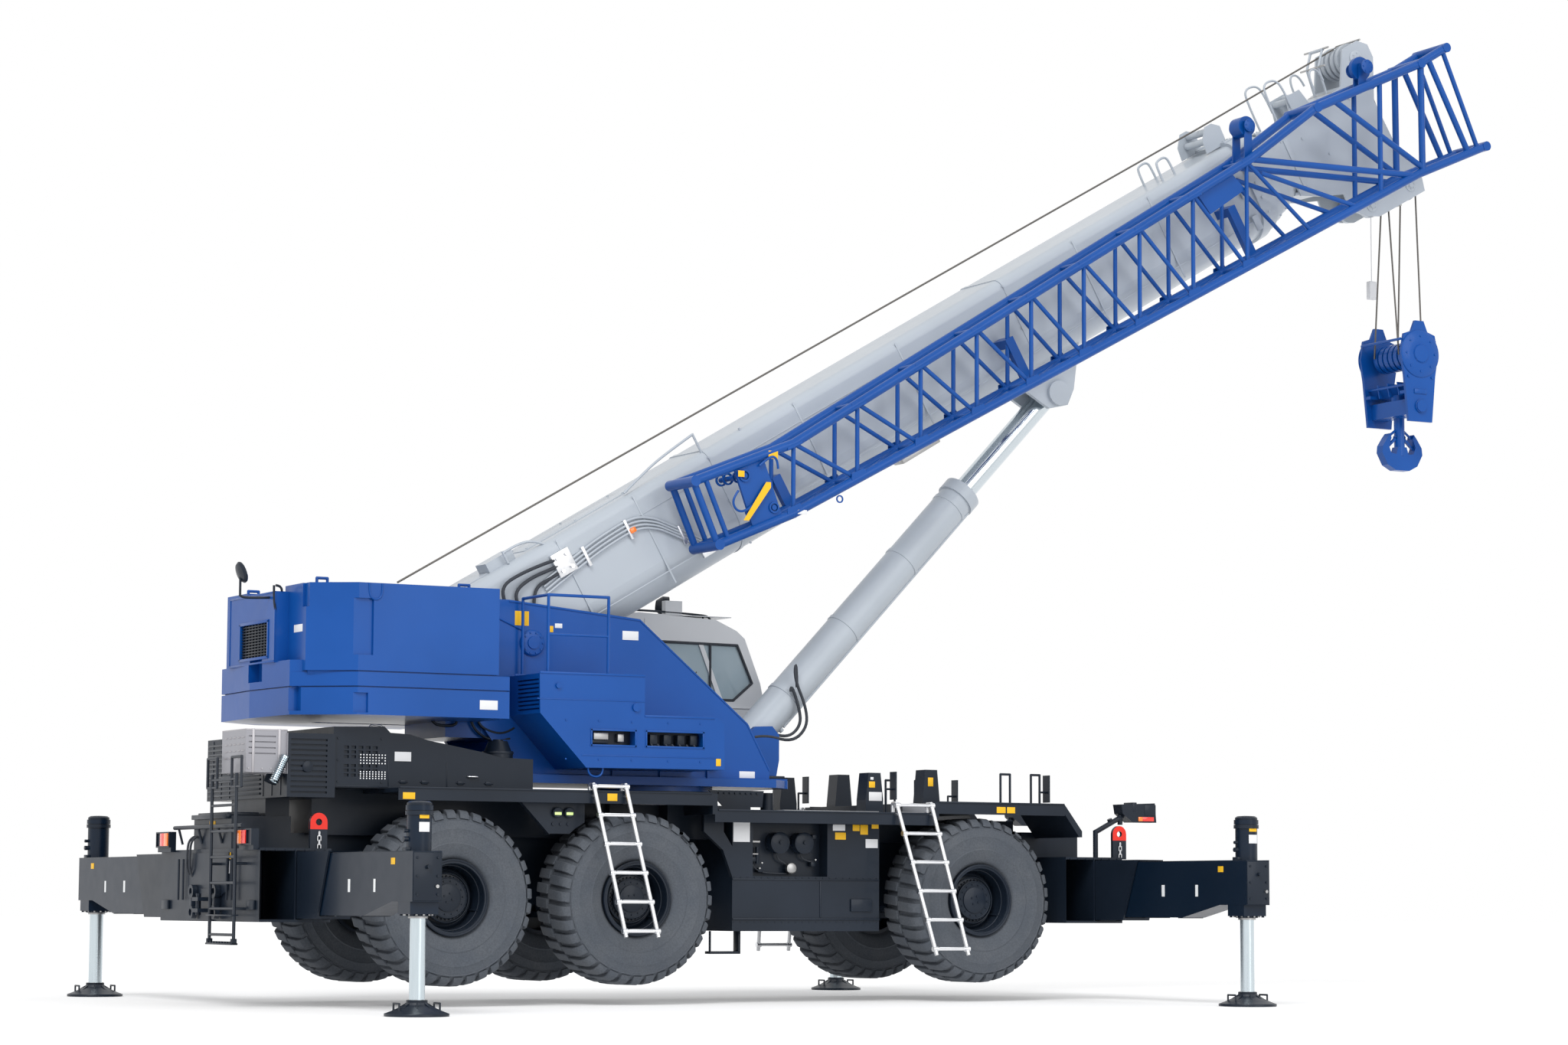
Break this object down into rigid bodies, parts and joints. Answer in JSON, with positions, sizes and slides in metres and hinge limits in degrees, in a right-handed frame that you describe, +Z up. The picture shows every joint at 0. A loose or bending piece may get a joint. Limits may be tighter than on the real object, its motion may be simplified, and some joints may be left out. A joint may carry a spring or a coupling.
{
  "type": "mobile crane",
  "caption": "Rough-terrain mobile crane on its outriggers with a telescopic boom, a stowed lattice jib, a slewing upper with an operator's cab, and a twin hook.",
  "frame": {"origin": "on the ground under the middle of the bounding box, midway between the outrigger floats across the machine", "axes": "+X forward, along the boom; +Y to the left, the cab side; +Z up"},
  "size_m": [16.7958, 9.012, 12.2169],
  "materials": {
    "tyre": "matt",
    "rim_paint": "satin",
    "wire_rope": "matt",
    "zinc_plate": "satin",
    "window_glass": "gloss",
    "cab_paint": "gloss",
    "plated_rod": "gloss",
    "machined_steel": "satin",
    "seat_fabric": "matt",
    "boom_paint": "gloss",
    "blue_paint": "gloss",
    "hook_paint": "gloss",
    "dark_paint": "satin",
    "carrier_paint": "gloss",
    "upper_paint": "gloss"
  },
  "bodies": {
    "chassis": {"chassis": "carrier_paint", "engine_hood": "carrier_paint", "axles": "dark_paint", "ladders": "zinc_plate", "grab_rails": "dark_paint", "lamps": "dark_paint"},
    "turntable": {"turntable": "upper_paint", "counterweight": "upper_paint", "winch": "dark_paint", "cab": "cab_paint", "cab_glass": "window_glass", "cab_seat": "seat_fabric", "boom_foot_pin": "machined_steel", "lift_foot_pin": "machined_steel"},
    "boom_base": {"boom_base": "boom_paint", "jib": "blue_paint"},
    "lift_barrel": {"lift_barrel": "boom_paint"},
    "lift_rod": {"lift_rod": "plated_rod", "lift_piston": "plated_rod"},
    "boom_section_1": {"boom_section_1": "boom_paint"},
    "boom_section_2": {"boom_section_2": "boom_paint"},
    "boom_section_3": {"boom_section_3": "boom_paint"},
    "boom_section_4": {"boom_section_4": "boom_paint"},
    "boom_section_5": {"boom_section_5": "boom_paint", "head_sheaves": "machined_steel"},
    "rope_falls": {"rope_falls": "wire_rope"},
    "hook_block": {"hook_block": "hook_paint"},
    "hook": {"hook": "hook_paint"},
    "sleeve_rear_right": {"sleeve_rear_right": "carrier_paint"},
    "beam_rear_right": {"beam_rear_right": "carrier_paint"},
    "jack_rear_right": {"jack_rear_right": "plated_rod"},
    "sleeve_rear_left": {"sleeve_rear_left": "carrier_paint"},
    "beam_rear_left": {"beam_rear_left": "carrier_paint"},
    "jack_rear_left": {"jack_rear_left": "plated_rod"},
    "sleeve_front_right": {"sleeve_front_right": "carrier_paint"},
    "beam_front_right": {"beam_front_right": "carrier_paint"},
    "jack_front_right": {"jack_front_right": "plated_rod"},
    "sleeve_front_left": {"sleeve_front_left": "carrier_paint"},
    "beam_front_left": {"beam_front_left": "carrier_paint"},
    "jack_front_left": {"jack_front_left": "plated_rod"},
    "knuckle_rear_right": {"knuckle_rear_right": "dark_paint"},
    "wheel_rear_right": {"tyre_rear_right": "tyre", "rim_rear_right": "rim_paint"},
    "knuckle_rear_left": {"knuckle_rear_left": "dark_paint"},
    "wheel_rear_left": {"tyre_rear_left": "tyre", "rim_rear_left": "rim_paint"},
    "knuckle_middle_right": {"knuckle_middle_right": "dark_paint"},
    "wheel_middle_right": {"tyre_middle_right": "tyre", "rim_middle_right": "rim_paint"},
    "knuckle_middle_left": {"knuckle_middle_left": "dark_paint"},
    "wheel_middle_left": {"tyre_middle_left": "tyre", "rim_middle_left": "rim_paint"},
    "knuckle_front_right": {"knuckle_front_right": "dark_paint"},
    "wheel_front_right": {"tyre_front_right": "tyre", "rim_front_right": "rim_paint"},
    "knuckle_front_left": {"knuckle_front_left": "dark_paint"},
    "wheel_front_left": {"tyre_front_left": "tyre", "rim_front_left": "rim_paint"},
    "cab_door": {"cab_door": "cab_paint", "door_glass": "window_glass"}
  },
  "joints": [
    {"name": "turntable_slew", "type": "hinge", "parent": "chassis", "child": "turntable", "pos_m": [-2.96, 0, 2.4], "axis": [0, 0, 1], "continuous": true},
    {"name": "boom_luff", "type": "hinge", "parent": "turntable", "child": "boom_base", "pos_m": [-4.76, 0, 3.96], "axis": [0, -1, 0], "range_deg": [-8, 48]},
    {"name": "lift_barrel_turn", "type": "hinge", "parent": "turntable", "child": "lift_barrel", "pos_m": [-1.8, 0, 2.88], "axis": [0, -1, 0], "range_deg": [-8.27, 49.64]},
    {"name": "lift_rod_extend", "type": "slide", "parent": "lift_barrel", "child": "lift_rod", "axis": [0.6925, 0, 0.7214], "range_m": [-0.4298, 2.579]},
    {"name": "telescope_5", "type": "slide", "parent": "boom_base", "child": "boom_section_5", "axis": [0.8643, 0, 0.503], "range_m": [0, 47.9]},
    {"name": "telescope_1", "type": "slide", "parent": "boom_base", "child": "boom_section_1", "axis": [0.8643, 0, 0.503], "range_m": [0, 9.5896]},
    {"name": "telescope_2", "type": "slide", "parent": "boom_base", "child": "boom_section_2", "axis": [0.8643, 0, 0.503], "range_m": [0, 19.1792]},
    {"name": "telescope_3", "type": "slide", "parent": "boom_base", "child": "boom_section_3", "axis": [0.8643, 0, 0.503], "range_m": [0, 28.7687]},
    {"name": "telescope_4", "type": "slide", "parent": "boom_base", "child": "boom_section_4", "axis": [0.8643, 0, 0.503], "range_m": [0, 38.3583]},
    {"name": "hook_swing", "type": "hinge", "parent": "boom_section_5", "child": "rope_falls", "pos_m": [7.89783, 0, 10.4014], "axis": [0, -1, 0], "range_deg": [-48.3, 8.3]},
    {"name": "hook_hoist", "type": "slide", "parent": "rope_falls", "child": "hook_block", "axis": [0, 0, -1], "range_m": [-1.5, 6.5], "deforming": ["rope_falls"]},
    {"name": "hook_swivel", "type": "hinge", "parent": "hook_block", "child": "hook", "pos_m": [7.89783, 0, 7.3], "axis": [0, 0, 1], "continuous": true},
    {"name": "beam_rear_right_slide", "type": "slide", "parent": "chassis", "child": "beam_rear_right", "axis": [0, -1, 0], "range_m": [-2.55, 0]},
    {"name": "sleeve_rear_right_slide", "type": "slide", "parent": "chassis", "child": "sleeve_rear_right", "axis": [0, -1, 0], "range_m": [-0.851, 0]},
    {"name": "jack_rear_right_lift", "type": "slide", "parent": "beam_rear_right", "child": "jack_rear_right", "axis": [0, 0, 1], "range_m": [0, 0.6]},
    {"name": "beam_rear_left_slide", "type": "slide", "parent": "chassis", "child": "beam_rear_left", "axis": [0, 1, 0], "range_m": [-2.55, 0]},
    {"name": "sleeve_rear_left_slide", "type": "slide", "parent": "chassis", "child": "sleeve_rear_left", "axis": [0, 1, 0], "range_m": [-0.851, 0]},
    {"name": "jack_rear_left_lift", "type": "slide", "parent": "beam_rear_left", "child": "jack_rear_left", "axis": [0, 0, 1], "range_m": [0, 0.6]},
    {"name": "beam_front_right_slide", "type": "slide", "parent": "chassis", "child": "beam_front_right", "axis": [0, -1, 0], "range_m": [-2.55, 0]},
    {"name": "sleeve_front_right_slide", "type": "slide", "parent": "chassis", "child": "sleeve_front_right", "axis": [0, -1, 0], "range_m": [-0.851, 0]},
    {"name": "jack_front_right_lift", "type": "slide", "parent": "beam_front_right", "child": "jack_front_right", "axis": [0, 0, 1], "range_m": [0, 0.6]},
    {"name": "beam_front_left_slide", "type": "slide", "parent": "chassis", "child": "beam_front_left", "axis": [0, 1, 0], "range_m": [-2.55, 0]},
    {"name": "sleeve_front_left_slide", "type": "slide", "parent": "chassis", "child": "sleeve_front_left", "axis": [0, 1, 0], "range_m": [-0.851, 0]},
    {"name": "jack_front_left_lift", "type": "slide", "parent": "beam_front_left", "child": "jack_front_left", "axis": [0, 0, 1], "range_m": [0, 0.6]},
    {"name": "steer_rear_right", "type": "hinge", "parent": "chassis", "child": "knuckle_rear_right", "pos_m": [-6.06, -0.83, 1.154], "axis": [0, 0, 1], "range_deg": [-16, 16]},
    {"name": "wheel_rear_right_spin", "type": "hinge", "parent": "knuckle_rear_right", "child": "wheel_rear_right", "pos_m": [-6.06, -1.1775, 1.154], "axis": [0, 1, 0], "continuous": true},
    {"name": "steer_rear_left", "type": "hinge", "parent": "chassis", "child": "knuckle_rear_left", "pos_m": [-6.06, 0.83, 1.154], "axis": [0, 0, 1], "range_deg": [-16.16, 16.16]},
    {"name": "wheel_rear_left_spin", "type": "hinge", "parent": "knuckle_rear_left", "child": "wheel_rear_left", "pos_m": [-6.06, 1.1775, 1.154], "axis": [0, 1, 0], "continuous": true},
    {"name": "steer_middle_right", "type": "hinge", "parent": "chassis", "child": "knuckle_middle_right", "pos_m": [-3.87, -0.83, 1.154], "axis": [0, 0, 1], "range_deg": [-10.1, 10.1]},
    {"name": "wheel_middle_right_spin", "type": "hinge", "parent": "knuckle_middle_right", "child": "wheel_middle_right", "pos_m": [-3.87, -1.1775, 1.154], "axis": [0, 1, 0], "continuous": true},
    {"name": "steer_middle_left", "type": "hinge", "parent": "chassis", "child": "knuckle_middle_left", "pos_m": [-3.87, 0.83, 1.154], "axis": [0, 0, 1], "range_deg": [-10.1, 10.1]},
    {"name": "wheel_middle_left_spin", "type": "hinge", "parent": "knuckle_middle_left", "child": "wheel_middle_left", "pos_m": [-3.87, 1.1775, 1.154], "axis": [0, 1, 0], "continuous": true},
    {"name": "steer_front_right", "type": "hinge", "parent": "chassis", "child": "knuckle_front_right", "pos_m": [0.547, -0.83, 1.154], "axis": [0, 0, 1], "range_deg": [-24, 24]},
    {"name": "wheel_front_right_spin", "type": "hinge", "parent": "knuckle_front_right", "child": "wheel_front_right", "pos_m": [0.547, -1.1775, 1.154], "axis": [0, 1, 0], "continuous": true},
    {"name": "steer_front_left", "type": "hinge", "parent": "chassis", "child": "knuckle_front_left", "pos_m": [0.547, 0.83, 1.154], "axis": [0, 0, 1], "range_deg": [-24.24, 24.24]},
    {"name": "wheel_front_left_spin", "type": "hinge", "parent": "knuckle_front_left", "child": "wheel_front_left", "pos_m": [0.547, 1.1775, 1.154], "axis": [0, 1, 0], "continuous": true},
    {"name": "cab_door_slide", "type": "slide", "parent": "turntable", "child": "cab_door", "axis": [-1, 0, 0], "range_m": [0, 0.62]}
  ],
  "couplings": [
    {"joint": "lift_barrel_turn", "follows": "boom_luff", "ratio": 1.024},
    {"joint": "lift_rod_extend", "follows": "boom_luff", "m_per_rad": 3.048},
    {"joint": "telescope_1", "follows": "telescope_5", "ratio": 0.2},
    {"joint": "telescope_2", "follows": "telescope_5", "ratio": 0.4},
    {"joint": "telescope_3", "follows": "telescope_5", "ratio": 0.6},
    {"joint": "telescope_4", "follows": "telescope_5", "ratio": 0.8},
    {"joint": "hook_swing", "follows": "boom_luff", "ratio": -1},
    {"joint": "sleeve_rear_right_slide", "follows": "beam_rear_right_slide", "ratio": 0.33333},
    {"joint": "sleeve_rear_left_slide", "follows": "beam_rear_left_slide", "ratio": 0.33333},
    {"joint": "sleeve_front_right_slide", "follows": "beam_front_right_slide", "ratio": 0.33333},
    {"joint": "sleeve_front_left_slide", "follows": "beam_front_left_slide", "ratio": 0.33333},
    {"joint": "steer_rear_left", "follows": "steer_rear_right", "ratio": 1},
    {"joint": "steer_middle_right", "follows": "steer_rear_right", "ratio": 0.625},
    {"joint": "steer_middle_left", "follows": "steer_rear_right", "ratio": 0.625},
    {"joint": "steer_front_left", "follows": "steer_front_right", "ratio": 1}
  ]
}
